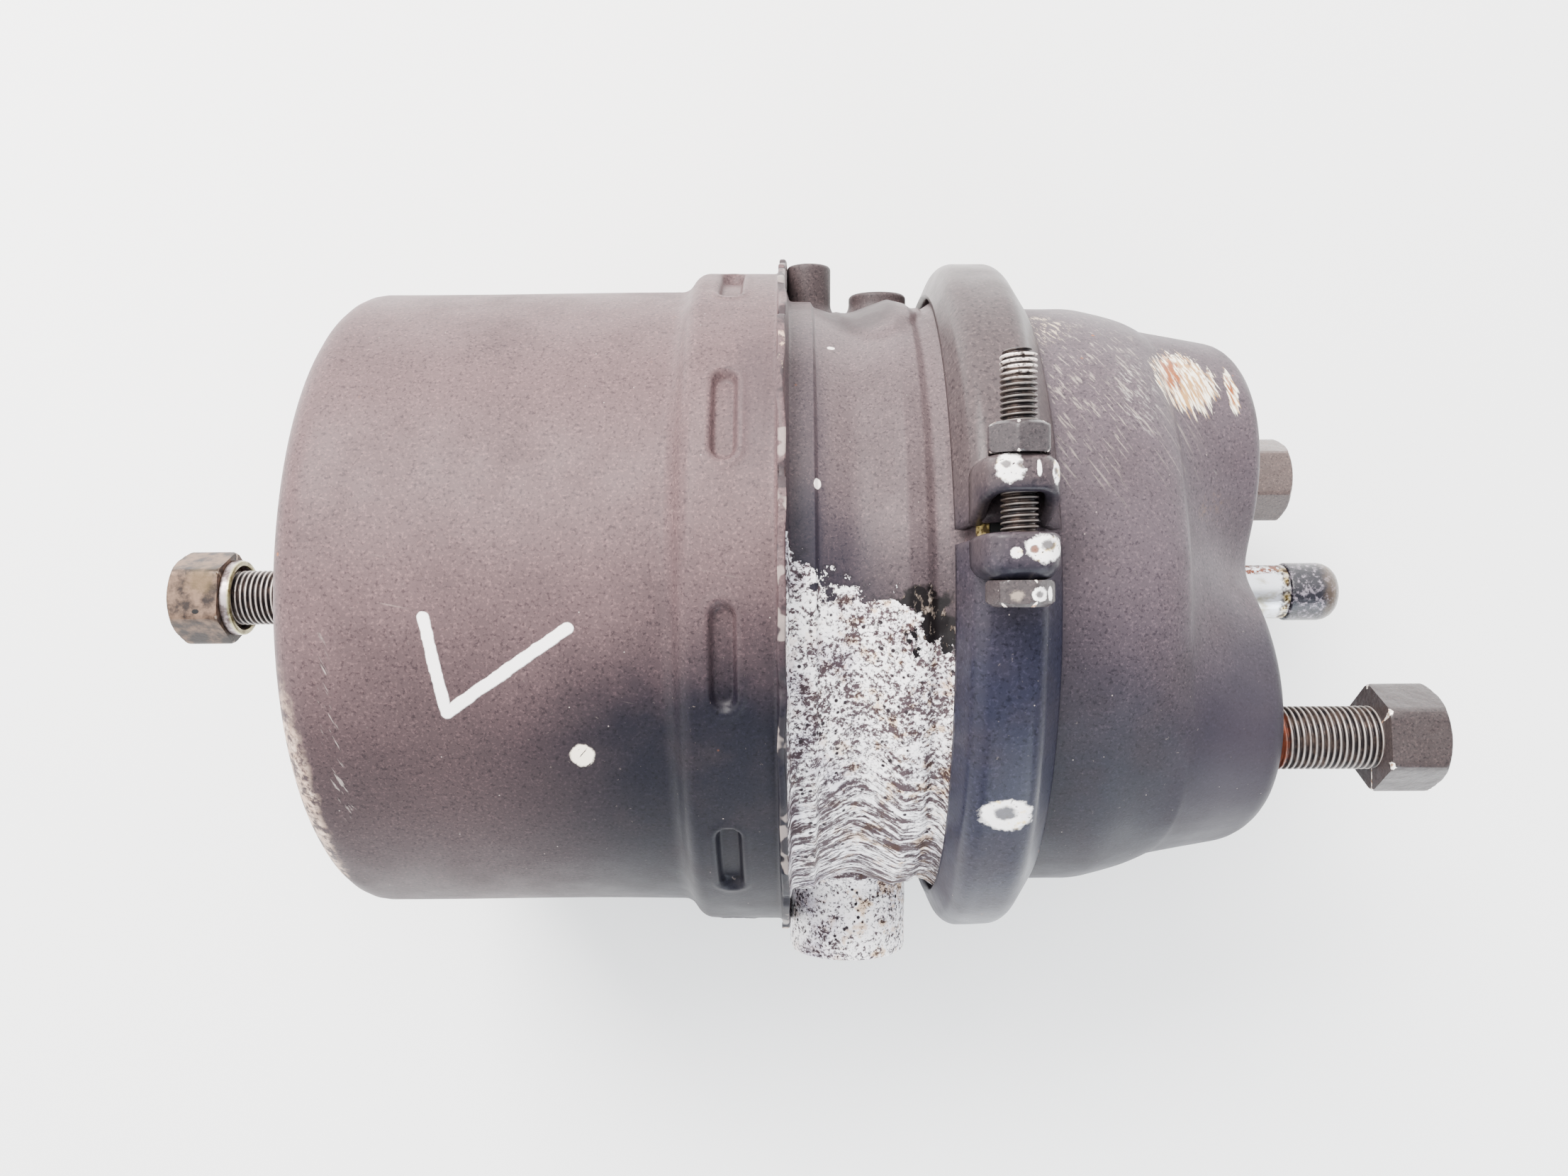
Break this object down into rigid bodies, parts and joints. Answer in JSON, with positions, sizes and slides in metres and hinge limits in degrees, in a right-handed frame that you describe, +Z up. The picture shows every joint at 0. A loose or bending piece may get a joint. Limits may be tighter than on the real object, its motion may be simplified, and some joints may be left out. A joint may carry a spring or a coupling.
{
  "type": "air brake chamber",
  "caption": "Spring brake actuator: diaphragm service chamber and spring parking chamber back to back on a cast flange, with push rod, mounting studs, clamp ring and release bolt.",
  "frame": {"origin": "centre of the mounting face, on the line of the push rod", "axes": "+X along the push rod, out of the mounting face towards the brake; the chambers lie in -X; +Z up with the actuator lying on its side and the clamp bolt on top"},
  "size_m": [0.3406, 0.2004, 0.2043],
  "materials": {
    "cylinder_paint": "worn satin brown-grey paint",
    "black_paint": "worn satin black paint",
    "cast_aluminium": "cast, partly painted black, corroded",
    "zinc_steel": "dull zinc plating",
    "bright_steel": "turned",
    "dark_steel": "oiled black oxide",
    "spring_steel": "black coated spring steel",
    "rubber": "matte",
    "bearing_plastic": "matte"
  },
  "bodies": {
    "chamber": {"spring_cylinder": "cylinder_paint", "release_bush": "dark_steel", "power_spring": "spring_steel", "intermediate_flange": "cast_aluminium", "spigot_seal": "rubber", "guide_bush": "bearing_plastic", "tube_seal": "rubber", "seal_retainer": "spring_steel", "diaphragm": "rubber", "service_housing": "black_paint", "mounting_studs": "zinc_steel", "mounting_nuts": "black_paint", "return_spring": "spring_steel", "rod_boot": "rubber", "boot_retainer": "bright_steel", "clamp_ring": "black_paint", "clamp_bolt": "black_paint", "clamp_nut": "black_paint"},
    "push_rod": {"push_plate": "zinc_steel", "push_rod": "zinc_steel", "rod_cap": "dark_steel"},
    "release_collar": {"release_collar": "bright_steel"},
    "release_bolt": {"release_spindle": "dark_steel", "release_nut": "dark_steel", "release_pin": "dark_steel", "thrust_washer": "bright_steel"},
    "spring_piston": {"spring_piston": "cast_aluminium", "piston_seal": "rubber", "piston_guide_ring": "bearing_plastic", "piston_tube": "bright_steel", "tube_nose": "bearing_plastic"}
  },
  "joints": [
    {"name": "service_stroke", "type": "slide", "parent": "chamber", "child": "push_rod", "axis": [1, 0, 0], "range_m": [0, 0.057], "stiffness_N_per_m": 3000, "springref_m": -0.05, "deforming": ["return_spring", "diaphragm", "rod_boot"]},
    {"name": "release_travel", "type": "slide", "parent": "chamber", "child": "release_collar", "axis": [1, 0, 0], "range_m": [0, 0.06]},
    {"name": "release_turn", "type": "hinge", "parent": "release_collar", "child": "release_bolt", "pos_m": [-0.2927, 0, 0], "axis": [1, 0, 0], "range_deg": [0, 14400]},
    {"name": "spring_piston_lift", "type": "slide", "parent": "chamber", "child": "spring_piston", "axis": [1, 0, 0], "range_m": [-0.002, 0], "stiffness_N_per_m": 3000, "springref_m": 0.05, "deforming": ["power_spring"]}
  ],
  "couplings": [
    {"joint": "release_turn", "follows": "release_travel", "rad_per_m": 4188.8}
  ]
}
